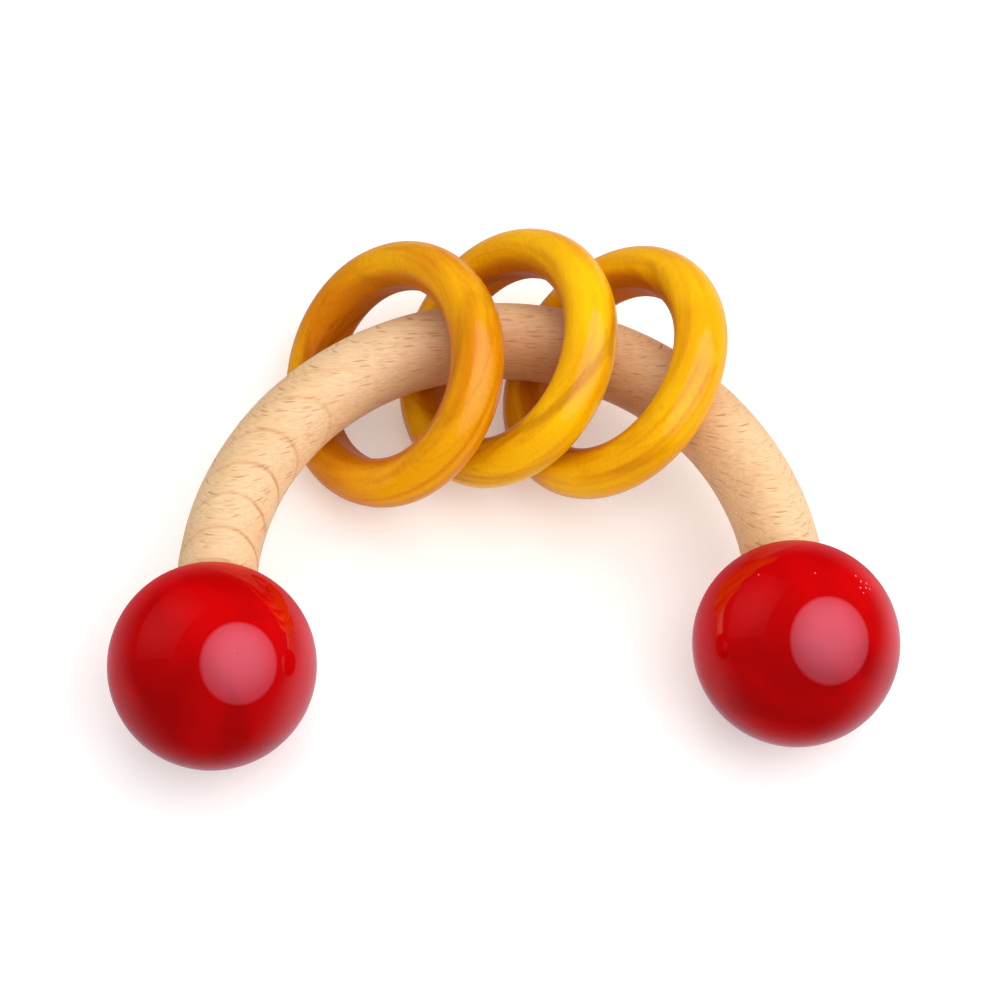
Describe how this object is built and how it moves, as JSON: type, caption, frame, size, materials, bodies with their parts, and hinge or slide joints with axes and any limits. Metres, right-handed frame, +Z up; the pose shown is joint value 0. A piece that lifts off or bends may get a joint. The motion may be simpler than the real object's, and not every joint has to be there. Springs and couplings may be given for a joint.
{
  "type": "baby rattle",
  "caption": "Wooden clutching rattle: a round beech half ring with a red ball on each end and loose yellow rings that slide along it.",
  "frame": {"origin": "on the table that the rattle lies on, under the centre that the arch is bent about", "axes": "+X from the left ball to the right ball, +Y from the balls towards the crown of the arch, +Z up, square to the plane of the arch"},
  "size_m": [0.1456, 0.1081, 0.0393],
  "materials": {
    "beech": "natural beech, sanded and oiled, satin",
    "dowel_beech": "plain turned beech pin, unfinished",
    "red_lacquer": "crimson lacquer on turned wood, high gloss",
    "yellow_lacquer": "translucent yellow-orange lacquer on turned wood, high gloss"
  },
  "bodies": {
    "frame": {"arch": "beech", "ball_left": "red_lacquer", "ball_right": "red_lacquer", "dowel_left": "dowel_beech", "dowel_right": "dowel_beech"},
    "left_ring": {"ring_left": "yellow_lacquer"},
    "middle_ring": {"ring_middle": "yellow_lacquer"},
    "right_ring": {"ring_right": "yellow_lacquer"}
  },
  "joints": [
    {"name": "ring_left_slide", "type": "hinge", "parent": "frame", "child": "left_ring", "pos_m": [0, 0, 0.0191], "axis": [0, 0, 1], "range_deg": [-1.5, 39]},
    {"name": "ring_middle_slide", "type": "hinge", "parent": "frame", "child": "middle_ring", "pos_m": [0, 0, 0.0191], "axis": [0, 0, 1], "range_deg": [-1, 1.5]},
    {"name": "ring_right_slide", "type": "hinge", "parent": "frame", "child": "right_ring", "pos_m": [0, 0, 0.0191], "axis": [0, 0, 1], "range_deg": [-31.5, 1]}
  ]
}
